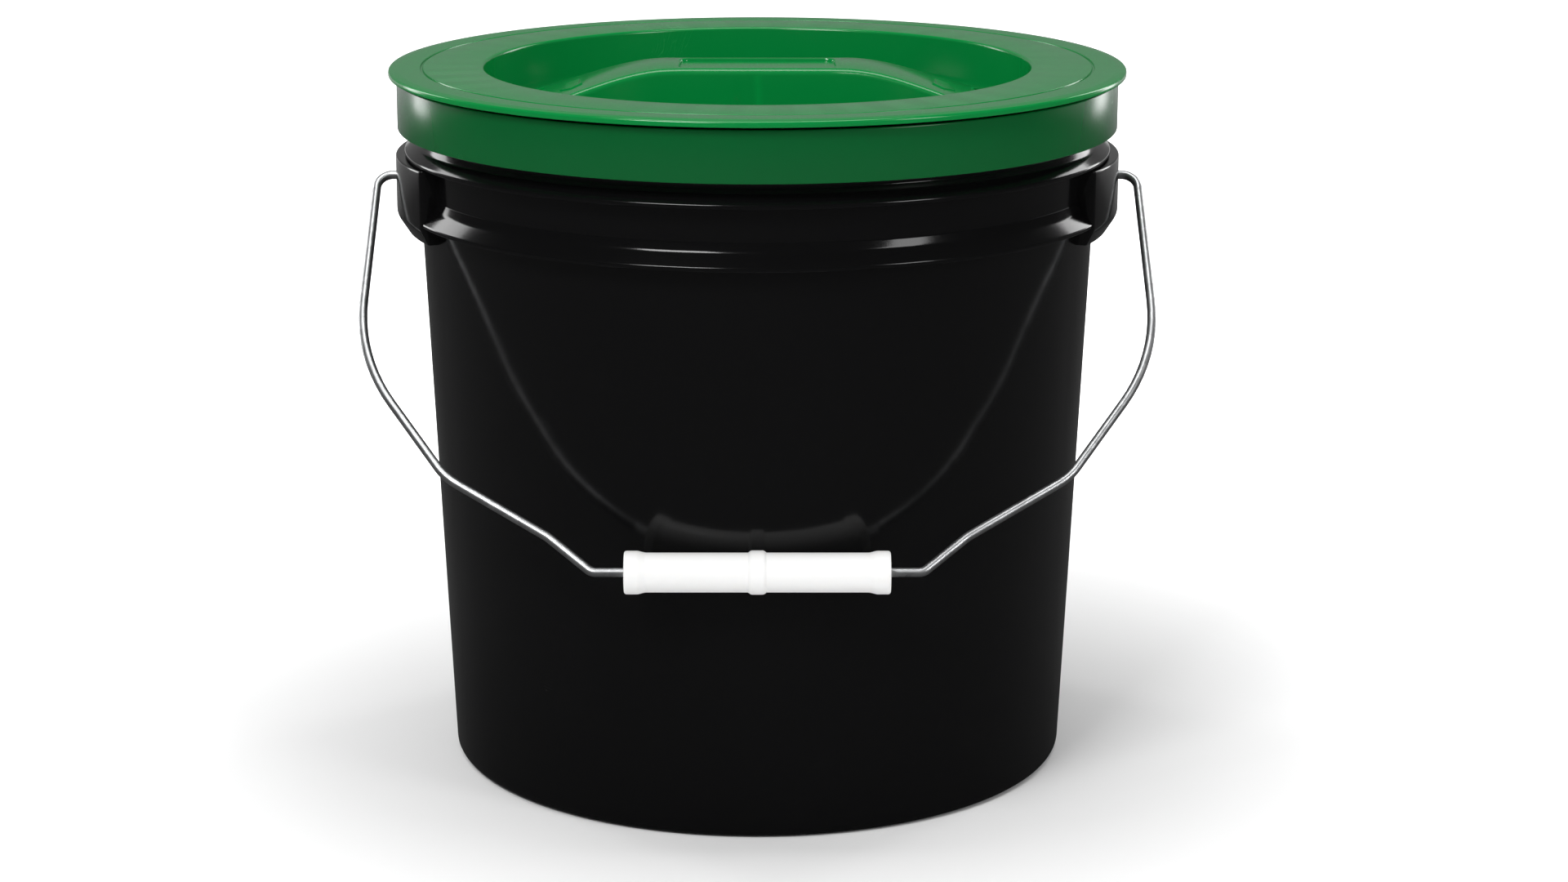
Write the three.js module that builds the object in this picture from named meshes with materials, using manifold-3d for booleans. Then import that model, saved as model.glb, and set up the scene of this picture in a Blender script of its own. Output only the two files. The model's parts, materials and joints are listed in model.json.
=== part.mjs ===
// A plastic fermenting bucket: one black moulded pail with a wire bail and a roller grip, closed by a
// snap-fit adapter ring and a lid that screws into it. Millimetres, +Z up, origin on the table under
// the middle of the pail. The bail pivots about X and hangs against the front wall (-Y).

import * as THREE from 'three';
import { mergeVertices } from 'three/addons/utils/BufferGeometryUtils.js';
import Module from 'manifold-3d';

// ---- Pail ---------------------------------------------------------------------------------------
const pailHeight = 292;
const lipRadius = 151.5; // outside of the rolled rim, a 12 inch pail
const lipHeight = 4.6;
const lipProud = 4.2; // how far the rim stands out from the neck
const wallDraft = 0.0438; // growth of the wall's radius for each mm of height
const neckWall = 2;
const lowerWall = 2.5; // the wall below the inner step
const innerStepDepth = 30; // from the rim down to the inner step
const floorThickness = 3;
const footHeight = 3;
const footWidth = 9;
const footCorner = 3.5;
const floorFillet = 7;
const ribProud = 4.6; // how far both ribs stand out from the neck
const ribThickness = 1.9;
const ribEdge = 1.4; // height of a rib's upright edge
const slotEdge = 1; // height of the slot behind a rib, at the rib's edge
const upperRib = { edgeDepth: 25.1, topDepth: 17, slot: 2.5 }; // slot is its height at the wall
const lowerRib = { edgeDepth: 50, topDepth: 39.5, slot: 5.5 };

// ---- Ears that hold the bail --------------------------------------------------------------------
const earProud = 8.6; // from the neck out to the middle of the ear's face
const earEndProud = 5.2; // out to the ends of the face, just past the ribs
const earHalfAngle = 23 * Math.PI / 180;
const earTopDepth = 26; // from the rim down to the ear's shelf
const earEdgeDepth = 51; // down to where the face turns in
const earLowDepth = 57.5; // down to the ear's lower edge
const earTurnIn = 4.6;
const earThickness = 2.5;
const pocketGap = 0.4; // skin left on the pail wall behind an ear
const pastCut = 2; // how far a cut runs past what it cuts

// ---- Bail and grip ------------------------------------------------------------------------------
const wireDiameter = 3.8;
const wireBearingGap = 0.4; // radial, wire in its ear hole
const pivotDepth = 37.6; // from the rim down to the bail's pivot
const bailSideGap = 11.4; // from an ear's face out to the middle of a straight arm
const bailOverLid = 43.4; // how far the wire reaches past the lid's edge
const armLean = 2.8; // an arm's top is nearer the ear than its middle
const wireShoulderBend = 7;
const armBend = { drop: 96, radius: 95 }; // where an arm turns in, from the pivot down
const elbow = { inward: 39.6, rise: 45.4, radius: 30 }; // in from the arm, up from the grip's line
const knee = { inward: 82.5, rise: 16.7, radius: 20 };
const kinkBend = 5;
const hookBend = 2.6;
const hookLeg = 5.6;
const hookWallGap = 1.6; // from the hook to the pail wall
const gripLength = 107;
const gripRadius = 8;
const gripEndRadius = 8.75;
const gripEndLength = 7;
const gripBandRadius = 8.9;
const gripBandLength = 5;
const gripBoreGap = 0.5; // radial, grip on the wire
const gripEndGap = 13; // from the grip's end to the wire's kink
const gripRestGap = 0.4;

// ---- Adapter ring and its gasket ----------------------------------------------------------------
const touchGap = 0.3; // left between pieces that rest on each other
const gasketThickness = 2.4;
const gasketWidth = 5;
const bandThickness = 2.6;
const skirtGap = 0.5; // radial, ring over the rim
const skirtThickness = 2.7;
const skirtDepth = 14.5; // below the rim's top
const snapHeight = 3;
const snapBite = 1.5; // how far the snap bead reaches under the rim
const snapGap = 0.4;
const plugGap = 0.5; // radial, ring inside the neck
const plugDepth = 9;
const ringWall = 2.2;
const ringLipRise = 1.2;
const ringLipWidth = 2;
const threadWallInset = 13.7; // from the plug's face in to the thread wall's inner face
const threadWallDepth = 26; // below the rim's top

// ---- Thread -------------------------------------------------------------------------------------
const threadStarts = 3;
const ridgeRadius = 2.2;
const ridgeTurns = 2 / 3; // how far round one ridge runs
const threadGap = 0.5; // radial, ridge to the other wall
const flankGap = 0.5258; // along the axis, between a ring ridge and a lid ridge
const ringRidgeDepth = 16; // from the rim's top down to where a ring ridge starts

// ---- Lid and its seal ---------------------------------------------------------------------------
const flangeOverhang = 3.4; // lid past the ring
const flangeThickness = 3;
const flangeGap = 2.5; // lid flange above the ring's band
const grooveInset = 14.3; // from the lid's edge in to the groove on top
const grooveWidth = 1.2;
const grooveDepth = 0.8;
const sealRadius = 1.55;
const sealInset = 6; // from the thread wall out to the middle of the seal
const sealSideGap = 0.4;
const lidWall = 2.4;
const wellInset = 10.6; // from the thread wall's inner face in to the well
const wellEdgeDepth = 26;
const wellMiddleDepth = 37;
const wellFillet = 9;
const lidThreadDepth = 33.5; // from the lid's top down to the end of its thread wall
const underRibs = 30;
const underRibThickness = 1.6;
const underRibHeight = 9;

// ---- Handle bar across the well -----------------------------------------------------------------
const barEndDrop = 19; // bar's end below the lid's top
const barEndWidth = 80;
const barWaistWidth = 37;
const barWaistLength = 60;
const plateauLength = 76;
const plateauEase = 20; // the curve leaves the plateau level for about this far
const barToe = { length: 29.6, rise: 2 }; // slope of the curve where it meets the well's wall
const waistEase = 18;
const barFlare = { length: 23.7, width: 10 };
const hollowWallGap = 1; // from the bar's hollow to the well's wall
const plateLength = 66; // blank recess on the plateau
const plateWidth = 29;
const plateDepth = 1.1;
const plateCorner = 4;

// ---- Fineness -----------------------------------------------------------------------------------
const turnSteps = 48;
const wireSides = 8;
const ridgeSides = 6;
const filletSteps = 3;
const smallFillet = 1; // a fillet under this radius is one chamfer

// ---- Sizes that follow from the ones above --------------------------------------------------------
const neckRadius = lipRadius - lipProud;
const wallRadius = (z) => neckRadius - wallDraft * (pailHeight - lipHeight - z);
const fromRim = (depth) => pailHeight - depth;
const earRadius = neckRadius + earProud;
const earEndRadius = neckRadius + earEndProud;
// an ear's face is rounder than the pail, about an upright axis this far out from the pail's
const earAxis = (earRadius ** 2 - earEndRadius ** 2)
  / (2 * (earRadius - earEndRadius * Math.cos(earHalfAngle)));
const earFace = earRadius - earAxis;
const pivotHeight = fromRim(pivotDepth);

const skirtInner = lipRadius + skirtGap;
const ringRadius = skirtInner + skirtThickness;
const gasketBottom = pailHeight + touchGap;
const ringCeiling = gasketBottom + gasketThickness + touchGap;
const bandTop = ringCeiling + bandThickness;
const plugRadius = wallRadius(fromRim(plugDepth)) - neckWall - plugGap;
const ringThreadRadius = plugRadius - threadWallInset + ringWall;
const lidThreadRadius = ringThreadRadius - ridgeRadius - threadGap;

// ridges of the ring and the lid pass each other halfway between the two walls
const halfWidth = Math.sqrt(ridgeRadius ** 2 - ((ridgeRadius + threadGap) / 2) ** 2);
const threadPitch = 2 * (2 * halfWidth + flankGap);
const threadLead = threadStarts * threadPitch; // rise of the lid in one turn

const flangeRadius = ringRadius + flangeOverhang;
const flangeUnder = bandTop + flangeGap;
const lidTop = flangeUnder + flangeThickness;
const wellRadius = lidThreadRadius - lidWall - wellInset;
const sealMiddle = lidThreadRadius + sealInset + ridgeRadius;
const sealHeight = bandTop + touchGap + sealRadius;

// ---- Solids -------------------------------------------------------------------------------------
const wasm = await Module();
wasm.setup();

// A three.js geometry as a solid: shared corners merged, empty triangles dropped, faces outward.
function solid(geometry) {
  const bare = geometry.clone();
  bare.deleteAttribute('normal');
  bare.deleteAttribute('uv');
  const merged = mergeVertices(bare, 1e-4);
  const at = merged.attributes.position;
  const index = merged.index.array;
  const corner = [new THREE.Vector3(), new THREE.Vector3(), new THREE.Vector3()];
  const faces = [];
  let volume = 0;
  for (let i = 0; i < index.length; i += 3) {
    const [a, b, c] = [index[i], index[i + 1], index[i + 2]];
    if (a === b || b === c || c === a) continue;
    faces.push([a, b, c]);
    corner.forEach((v, k) => v.fromBufferAttribute(at, index[i + k]));
    volume += corner[0].dot(corner[1].clone().cross(corner[2]));
  }
  const outward = volume > 0 ? faces : faces.map(([a, b, c]) => [a, c, b]);
  const triVerts = new Uint32Array(outward.flat());
  const vertProperties = new Float32Array(at.array);
  return new wasm.Manifold(new wasm.Mesh({ numProp: 3, vertProperties, triVerts }));
}

function geometryOf(body) {
  const { vertProperties, triVerts } = body.getMesh();
  const geometry = new THREE.BufferGeometry();
  geometry.setAttribute('position', new THREE.BufferAttribute(new Float32Array(vertProperties), 3));
  geometry.setIndex(new THREE.BufferAttribute(new Uint32Array(triVerts), 1));
  return geometry;
}

// Corners [across, up, fillet radius] to points, with each filleted corner as a short arc.
function outline(corners, closed = true) {
  const points = [];
  corners.forEach(([x, y, radius = 0], i) => {
    const here = new THREE.Vector2(x, y);
    const atEnd = !closed && (i === 0 || i === corners.length - 1);
    if (radius === 0 || atEnd) {
      points.push(here);
      return;
    }
    const before = corners[(i + corners.length - 1) % corners.length];
    const after = corners[(i + 1) % corners.length];
    const back = new THREE.Vector2(before[0] - x, before[1] - y);
    const ahead = new THREE.Vector2(after[0] - x, after[1] - y);
    const half = Math.acos(back.dot(ahead) / (back.length() * ahead.length())) / 2;
    const reach = Math.min(radius / Math.tan(half), 0.48 * back.length(), 0.48 * ahead.length());
    const start = here.clone().addScaledVector(back.normalize(), reach);
    const end = here.clone().addScaledVector(ahead.normalize(), reach);
    const bend = new THREE.QuadraticBezierCurve(start, here, end);
    points.push(...bend.getPoints(radius < smallFillet ? 1 : filletSteps));
  });
  return points;
}

// Turns an outline in the radius-height plane about Z. An open outline starts and ends on the axis.
function turned(corners, closed = true, steps = turnSteps) {
  const points = outline(corners, closed);
  if (closed) points.push(points[0].clone());
  return new THREE.LatheGeometry(points, steps).rotateX(Math.PI / 2);
}

function prism(shape, bottom, top) {
  const depth = top - bottom;
  return new THREE.ExtrudeGeometry(shape, { depth, bevelEnabled: false }).translate(0, 0, bottom);
}

// A slice of pie about Z, both ways round from the +X or the -X side.
function wedge(side, halfAngle, reach, bottom, top) {
  const x = side * reach;
  const y = reach * Math.tan(halfAngle);
  return prism(new THREE.Shape(outline([[0, 0], [x, -y], [x, y]])), bottom, top);
}

// A path given as its stations, so that bends get close steps and straight lengths get none.
class StationPath extends THREE.Curve {
  constructor(stations) {
    super();
    this.stations = stations;
  }

  getPoint(t) {
    const last = this.stations.length - 1;
    const place = Math.min(Math.max(t, 0), 1) * last;
    const i = Math.min(Math.floor(place), last - 1);
    return this.stations[i].clone().lerp(this.stations[i + 1], place - i);
  }

  getUtoTmapping(u) {
    return u;
  }
}

function swept(radius, sides, stations) {
  const section = outline(Array.from({ length: sides }, (_, i) => {
    const angle = (i + 0.5) * 2 * Math.PI / sides;
    return [radius * Math.cos(angle), radius * Math.sin(angle)];
  }));
  const extrudePath = new StationPath(stations);
  return new THREE.ExtrudeGeometry(new THREE.Shape(section), { extrudePath, steps: stations.length - 1 });
}

// The ridges of a screw thread on a round wall, each starting at `bottom` and rising anticlockwise.
function ridges(wall, bottom) {
  const steps = Math.round(turnSteps * ridgeTurns);
  return Array.from({ length: threadStarts }, (_, start) => {
    const stations = Array.from({ length: steps + 1 }, (_, i) => {
      const turns = ridgeTurns * i / steps;
      const angle = 2 * Math.PI * (turns + start / threadStarts);
      const rise = threadLead * turns;
      return new THREE.Vector3(wall * Math.cos(angle), wall * Math.sin(angle), bottom + rise);
    });
    return solid(swept(ridgeRadius, ridgeSides, stations));
  });
}

const black = () => new THREE.MeshStandardMaterial({ color: 0x0b0b0b, roughness: 0.22, metalness: 0 });
const green = () => new THREE.MeshStandardMaterial({ color: 0x008541, roughness: 0.3, metalness: 0 });
const darkGreen = () => new THREE.MeshStandardMaterial({ color: 0x066b36, roughness: 0.3, metalness: 0 });
const rubber = () => new THREE.MeshStandardMaterial({ color: 0x1a1a1a, roughness: 0.7, metalness: 0 });
const white = () => new THREE.MeshStandardMaterial({ color: 0xfafafa, roughness: 0.35, metalness: 0 });
const galvanised = () => new THREE.MeshStandardMaterial({ color: 0xb4b6b8, roughness: 0.3, metalness: 1 });

function part(name, geometry, material) {
  const mesh = new THREE.Mesh(geometry, material);
  mesh.name = name;
  return mesh;
}

// ---- The pail: wall, floor, rim, two ribs and two hollow ears in one moulding ---------------------
function ribCorners({ edgeDepth, topDepth, slot }) {
  const edge = fromRim(edgeDepth);
  const top = fromRim(topDepth);
  const outer = neckRadius + ribProud;
  return [
    [wallRadius(edge + slot), edge + slot],
    [outer - ribThickness, edge + slotEdge],
    [outer - ribThickness, edge],
    [outer, edge],
    [outer, edge + ribEdge],
    [wallRadius(top) + 0.25 * ribProud, (edge + 2 * top) / 3],
    [wallRadius(top), top],
  ];
}

function pail() {
  const rimInner = wallRadius(pailHeight) - neckWall;
  const step = fromRim(innerStepDepth);
  const lipUnder = fromRim(lipHeight);
  const floorTop = footHeight + floorThickness;
  const body = solid(turned([
    [0, footHeight],
    [wallRadius(0) - footWidth - footHeight / 2, footHeight],
    [wallRadius(0) - footWidth, 0],
    [wallRadius(0), 0, footCorner],
    ...ribCorners(lowerRib),
    ...ribCorners(upperRib),
    [wallRadius(lipUnder), lipUnder],
    [lipRadius, lipUnder, lipHeight / 3],
    [lipRadius, pailHeight, lipHeight / 3],
    [rimInner, pailHeight, neckWall / 2],
    [wallRadius(step) - neckWall, step],
    [wallRadius(step - 1) - lowerWall, step - 1],
    [wallRadius(floorTop) - lowerWall, floorTop, floorFillet],
    [0, floorTop],
  ], false));

  const earTop = fromRim(earTopDepth);
  const earEdge = fromRim(earEdgeDepth);
  const earLow = fromRim(earLowDepth);
  const rooted = neckWall / 2; // the ear's solid starts inside the wall
  const earBlock = turned([
    [0, earTop],
    [earFace, earTop, 1],
    [earFace, earEdge, 3],
    [earFace - earTurnIn, earLow],
    [0, earLow],
  ], false);
  const pocketTop = earTop - earThickness;
  const pocketLow = earLow - pastCut / 2;
  const pocketFace = earFace - earThickness;
  const pocketBlock = turned([
    [0, pocketTop],
    [pocketFace, pocketTop],
    [pocketFace, earEdge],
    [pocketFace - earTurnIn, pocketLow],
    [0, pocketLow],
  ], false);
  // what is inside the wall, moved `out` from its outer face
  const inside = (out) => solid(turned([
    [0, earLow - pastCut],
    [wallRadius(earLow - pastCut) + out, earLow - pastCut],
    [wallRadius(earTop + pastCut) + out, earTop + pastCut],
    [0, earTop + pastCut],
  ], false));
  const holeRadius = wireDiameter / 2 + wireBearingGap;
  const hole = new THREE.CylinderGeometry(holeRadius, holeRadius, 2 * earThickness + pastCut, 16)
    .rotateZ(Math.PI / 2);

  let whole = body;
  for (const side of [1, -1]) {
    const reach = earRadius + earProud;
    const sector = solid(wedge(side, earHalfAngle, reach, earLow - pastCut, earTop + pastCut));
    const ear = solid(earBlock.clone().translate(side * earAxis, 0, 0)).intersect(sector);
    whole = whole.add(ear.subtract(inside(-rooted)));
  }
  for (const side of [1, -1]) {
    const reach = earRadius + earProud;
    const inner = earHalfAngle - earThickness / earRadius;
    const sector = solid(wedge(side, inner, reach, earLow - pastCut, earTop));
    const bearing = hole.clone().translate(side * (earRadius - earThickness / 2), 0, pivotHeight);
    const pocket = solid(pocketBlock.clone().translate(side * earAxis, 0, 0)).intersect(sector);
    whole = whole.subtract(pocket.subtract(inside(pocketGap))).subtract(solid(bearing));
  }
  return part('bucket', geometryOf(whole), black());
}

// ---- The bail: one wire, hooked inside each ear, in its own frame with the pivot on X --------------
const armX = earRadius + bailSideGap;
const bailReach = flangeRadius + bailOverLid;
const kinkX = gripLength / 2 + gripEndGap;
const hookX = wallRadius(pivotHeight) + pocketGap + hookWallGap + wireDiameter / 2;

function bentStations(corners) {
  return outline(corners, false).map((p) => new THREE.Vector3(p.x, 0, -p.y));
}

function bailWire() {
  // [out from the middle, down from the pivot, bend radius], from the right hook to the right kink
  const right = [
    [hookX, hookLeg],
    [hookX, 0, hookBend],
    [armX - armLean, 0, wireShoulderBend],
    [armX, armBend.drop, armBend.radius],
    [armX - elbow.inward, bailReach - elbow.rise, elbow.radius],
    [armX - knee.inward, bailReach - knee.rise, knee.radius],
    [kinkX, bailReach, kinkBend],
  ];
  const left = right.map(([x, y, radius]) => [-x, y, radius]).reverse();
  const stations = bentStations([...right, ...left]);
  return part('bail_wire', geometryOf(solid(swept(wireDiameter / 2, wireSides, stations))), galvanised());
}

function grip() {
  const bore = wireDiameter / 2 + gripBoreGap;
  const half = gripLength / 2;
  const band = gripBandLength / 2;
  const flare = half - gripEndLength;
  const tube = turned([
    [bore, -half],
    [gripEndRadius, -half, 1],
    [gripEndRadius, -flare - 1],
    [gripRadius, -flare + 1],
    [gripRadius, -band - 1],
    [gripBandRadius, -band],
    [gripBandRadius, band],
    [gripRadius, band + 1],
    [gripRadius, flare - 1],
    [gripEndRadius, flare + 1],
    [gripEndRadius, half, 1],
    [bore, half],
  ], true, 24);
  const mesh = part('grip', geometryOf(solid(tube)), white());
  mesh.position.z = -bailReach;
  mesh.rotation.y = Math.PI / 2;
  return mesh;
}

// How far the bail hangs out from straight down when its grip rests on the pail's front wall.
function hangAngle() {
  let angle = Math.PI / 4;
  for (let i = 0; i < 30; i += 1) {
    const height = pivotHeight - bailReach * Math.cos(angle);
    const reach = wallRadius(height) + gripBandRadius + gripRestGap;
    angle = Math.asin(reach / bailReach);
  }
  return angle;
}

// ---- The adapter ring: snaps over the rim, and carries the thread for the lid ----------------------
function adapterRing() {
  const skirtBottom = fromRim(skirtDepth);
  const plugBottom = fromRim(plugDepth);
  const wallBottom = fromRim(threadWallDepth);
  const snapTop = fromRim(lipHeight) - snapGap;
  const snapInner = lipRadius - snapBite;
  const lipTop = bandTop + ringLipRise;
  const body = solid(turned([
    [ringRadius, skirtBottom],
    [ringRadius, lipTop, 0.6],
    [ringRadius - ringLipWidth, lipTop],
    [ringRadius - ringLipWidth, bandTop],
    [ringThreadRadius, bandTop, 1],
    [ringThreadRadius, wallBottom],
    [ringThreadRadius + ringWall, wallBottom],
    [ringThreadRadius + ringWall, ringCeiling],
    [plugRadius - ringWall, ringCeiling],
    [plugRadius - ringWall, plugBottom],
    [plugRadius, plugBottom, 0.8],
    [plugRadius, ringCeiling],
    [skirtInner, ringCeiling],
    [skirtInner, snapTop],
    [snapInner, snapTop - snapHeight / 3],
    [snapInner, snapTop - 2 * snapHeight / 3],
    [skirtInner, snapTop - snapHeight],
    [skirtInner, skirtBottom],
  ]));
  const bottom = fromRim(ringRidgeDepth);
  const whole = ridges(ringThreadRadius, bottom).reduce((sum, ridge) => sum.add(ridge), body);
  return part('adapter_ring', geometryOf(whole), darkGreen());
}

function ringGasket() {
  const middle = (wallRadius(pailHeight) - neckWall + lipRadius) / 2;
  const top = gasketBottom + gasketThickness;
  const band = turned([
    [middle - gasketWidth / 2, gasketBottom],
    [middle + gasketWidth / 2, gasketBottom],
    [middle + gasketWidth / 2, top],
    [middle - gasketWidth / 2, top],
  ]);
  return part('ring_gasket', geometryOf(solid(band)), rubber());
}

// ---- The lid: flange, thread wall, round well and a hollow handle bar across it --------------------
// Height of the well's floor: a shallow bowl, lowest in the middle.
function bowl(radius, sink) {
  const edge = lidTop - wellEdgeDepth;
  const middle = lidTop - wellMiddleDepth;
  return middle + (edge - middle) * (radius / wellRadius) ** 2 - sink;
}

function bowlCorners(outward, sink) {
  const shares = [0, 0.25, 0.5, 0.75];
  const corners = shares.map((share) => [share * wellRadius, bowl(share * wellRadius, sink)]);
  return outward ? corners : corners.reverse();
}

const barHalf = wellRadius + lidWall / 2;
const barFoot = lidTop - wellMiddleDepth - 4 * lidWall; // well under the bowl, which trims the bar

// The bar seen from the side, `inset` smaller all round.
function barSide(inset) {
  const flat = plateauLength / 2;
  const top = lidTop - inset;
  const end = lidTop - barEndDrop - inset;
  const toe = barHalf - barToe.length;
  const shape = new THREE.Shape();
  shape.moveTo(-barHalf, barFoot);
  shape.lineTo(barHalf, barFoot);
  shape.lineTo(barHalf, end);
  shape.bezierCurveTo(toe, end + barToe.rise, flat + plateauEase, top, flat, top);
  shape.lineTo(-flat, top);
  shape.bezierCurveTo(-flat - plateauEase, top, -toe, end + barToe.rise, -barHalf, end);
  const depth = barEndWidth + pastCut;
  const slab = new THREE.ExtrudeGeometry(shape, { depth, bevelEnabled: false, curveSegments: 8 });
  return solid(slab.rotateX(Math.PI / 2).translate(0, depth / 2, 0));
}

// The bar seen from above: a bow tie, widest where it meets the well's wall.
function barPlan(inset) {
  const wide = barEndWidth / 2 - inset;
  const narrow = barWaistWidth / 2 - inset;
  const waist = barWaistLength / 2;
  const flare = barHalf - barFlare.length;
  const flareWide = wide - barFlare.width;
  const shape = new THREE.Shape();
  shape.moveTo(barHalf, -wide);
  shape.lineTo(barHalf, wide);
  shape.bezierCurveTo(flare, flareWide, waist + waistEase, narrow, waist, narrow);
  shape.lineTo(-waist, narrow);
  shape.bezierCurveTo(-waist - waistEase, narrow, -flare, flareWide, -barHalf, wide);
  shape.lineTo(-barHalf, -wide);
  shape.bezierCurveTo(-flare, -flareWide, -waist - waistEase, -narrow, -waist, -narrow);
  shape.lineTo(waist, -narrow);
  shape.bezierCurveTo(waist + waistEase, -narrow, flare, -flareWide, barHalf, -wide);
  const slab = new THREE.ExtrudeGeometry(shape, {
    depth: lidTop - barFoot,
    bevelEnabled: false,
    curveSegments: 8,
  });
  return solid(slab.translate(0, 0, barFoot + lidWall));
}

function lid() {
  const wallBottom = lidTop - lidThreadDepth;
  const wallInner = lidThreadRadius - lidWall;
  const hollowTop = lidTop - flangeThickness;
  const wellOuter = wellRadius + lidWall;
  const wellEdge = lidTop - wellEdgeDepth;
  const groove = flangeRadius - grooveInset;
  const sealIn = sealMiddle - sealRadius - sealSideGap;
  const sealOut = sealMiddle + sealRadius + sealSideGap;
  const sealTop = sealHeight + sealRadius + touchGap;
  const body = solid(turned([
    ...bowlCorners(true, 0),
    [wellRadius, wellEdge, wellFillet],
    [wellRadius, lidTop, 1.2],
    [groove - grooveWidth / 2, lidTop],
    [groove - grooveWidth / 2, lidTop - grooveDepth],
    [groove + grooveWidth / 2, lidTop - grooveDepth],
    [groove + grooveWidth / 2, lidTop],
    [flangeRadius, lidTop, 1.2],
    [flangeRadius, flangeUnder, 0.5],
    [sealOut, flangeUnder],
    [sealOut, sealTop],
    [sealIn, sealTop],
    [sealIn, flangeUnder],
    [lidThreadRadius, flangeUnder],
    [lidThreadRadius, wallBottom, 0.6],
    [wallInner, wallBottom],
    [wallInner, hollowTop],
    [wellOuter, hollowTop],
    [wellOuter, wellEdge - lidWall, wellFillet + lidWall],
    ...bowlCorners(false, lidWall),
  ], false));

  // the space inside the well, let a little into its floor and wall so that the bar joins them
  const bite = lidWall / 2;
  const inWell = solid(turned([
    ...bowlCorners(true, bite),
    [wellRadius + bite, wellEdge - bite, wellFillet],
    [wellRadius + bite, lidTop + pastCut],
    [0, lidTop + pastCut],
  ], false));
  const hollowReach = wellRadius - hollowWallGap;
  const clearOfWall = new THREE.CylinderGeometry(hollowReach, hollowReach, 3 * wellMiddleDepth, turnSteps)
    .rotateX(Math.PI / 2)
    .translate(0, 0, lidTop);
  const bar = barSide(0).intersect(barPlan(0)).intersect(inWell);
  const hollow = barSide(lidWall).intersect(barPlan(lidWall)).intersect(solid(clearOfWall));
  const plate = prism(new THREE.Shape(outline([
    [-plateLength / 2, -plateWidth / 2, plateCorner],
    [plateLength / 2, -plateWidth / 2, plateCorner],
    [plateLength / 2, plateWidth / 2, plateCorner],
    [-plateLength / 2, plateWidth / 2, plateCorner],
  ])), lidTop - plateDepth, lidTop + pastCut);

  let whole = body.add(bar).subtract(hollow).subtract(solid(plate));
  const ribLength = wallInner - wellOuter + lidWall;
  for (let i = 0; i < underRibs; i += 1) {
    const rib = new THREE.BoxGeometry(ribLength, underRibThickness, underRibHeight + lidWall / 2)
      .translate((wallInner + wellOuter) / 2, 0, hollowTop - underRibHeight / 2 + lidWall / 4)
      .rotateZ(i * 2 * Math.PI / underRibs);
    whole = whole.add(solid(rib));
  }
  const firstRidge = fromRim(ringRidgeDepth) - threadPitch / 2;
  whole = ridges(lidThreadRadius, firstRidge).reduce((sum, ridge) => sum.add(ridge), whole);
  return part('lid', geometryOf(whole), green());
}

function lidSeal() {
  const section = Array.from({ length: 8 }, (_, i) => {
    const angle = (i + 0.5) * Math.PI / 4;
    const scale = sealRadius / Math.cos(Math.PI / 8);
    return [sealMiddle + scale * Math.cos(angle), sealHeight + scale * Math.sin(angle)];
  });
  return part('lid_seal', geometryOf(solid(turned(section))), rubber());
}

// ---- The whole bucket ------------------------------------------------------------------------------
const bail = new THREE.Group();
bail.add(bailWire(), grip());
bail.position.z = pivotHeight;
bail.rotation.x = -hangAngle();

const bucket = new THREE.Group();
bucket.add(pail(), bail, adapterRing(), ringGasket(), lidSeal(), lid());

export default bucket;
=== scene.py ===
"""The finished look of a plastic fermenting bucket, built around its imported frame.

Every piece of the frame gets a fine mesh and a moulded, drawn or rubber material. Lengths are metres.
"""

import json
import math

import bmesh
import bpy
from bpy.props import FloatProperty, FloatVectorProperty, IntProperty, PointerProperty
from mathutils import Matrix, Vector


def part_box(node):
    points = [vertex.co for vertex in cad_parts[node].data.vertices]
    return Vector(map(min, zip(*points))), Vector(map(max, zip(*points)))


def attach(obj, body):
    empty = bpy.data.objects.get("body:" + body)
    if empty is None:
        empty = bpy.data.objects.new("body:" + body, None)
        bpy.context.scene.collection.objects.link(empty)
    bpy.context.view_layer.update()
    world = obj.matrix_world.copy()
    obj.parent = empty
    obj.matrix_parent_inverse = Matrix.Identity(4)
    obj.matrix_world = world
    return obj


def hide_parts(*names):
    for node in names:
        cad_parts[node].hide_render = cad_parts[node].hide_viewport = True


bl_info = {
    "name": "Fermenting Bucket",
    "version": (1, 0, 0),
    "blender": (4, 5, 0),
    "location": "View3D > Sidebar > Bucket",
    "description": "Builds a pail with a wire bail, an adapter ring and a screw-in lid",
    "category": "Object",
}

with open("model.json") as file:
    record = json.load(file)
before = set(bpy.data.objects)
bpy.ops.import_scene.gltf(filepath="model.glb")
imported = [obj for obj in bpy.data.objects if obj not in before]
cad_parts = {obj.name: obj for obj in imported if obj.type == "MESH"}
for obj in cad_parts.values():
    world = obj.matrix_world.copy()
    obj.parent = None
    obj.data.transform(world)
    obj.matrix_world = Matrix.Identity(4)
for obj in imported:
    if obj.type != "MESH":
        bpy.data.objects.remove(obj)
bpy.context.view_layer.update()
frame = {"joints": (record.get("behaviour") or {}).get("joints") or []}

FULL_TURN = 2 * math.pi
LEFT, RIGHT = -1, 1

# Places that the frame settles.
pail_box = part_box("bucket")
ring_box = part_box("adapter_ring")
gasket_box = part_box("ring_gasket")
seal_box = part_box("lid_seal")
lid_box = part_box("lid")
grip_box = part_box("grip")
joints = {joint["name"]: joint for joint in frame["joints"]}

RIM_TOP = pail_box[1].z
EAR_RADIUS = pail_box[1].x
RING_RADIUS = ring_box[1].x
LID_TOP = lid_box[1].z
FLANGE_RADIUS = lid_box[1].x
PIVOT = Vector(joints["bail_swing"]["pos_m"])
GRIP_CENTRE = Vector(joints["grip_spin"]["pos_m"])


def length(default, name, description):
    return FloatProperty(name=name, description=description, default=default, unit="LENGTH", precision=4)


def colour(default, name, description):
    return FloatVectorProperty(name=name, description=description, default=default, subtype="COLOR", size=3)


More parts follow.
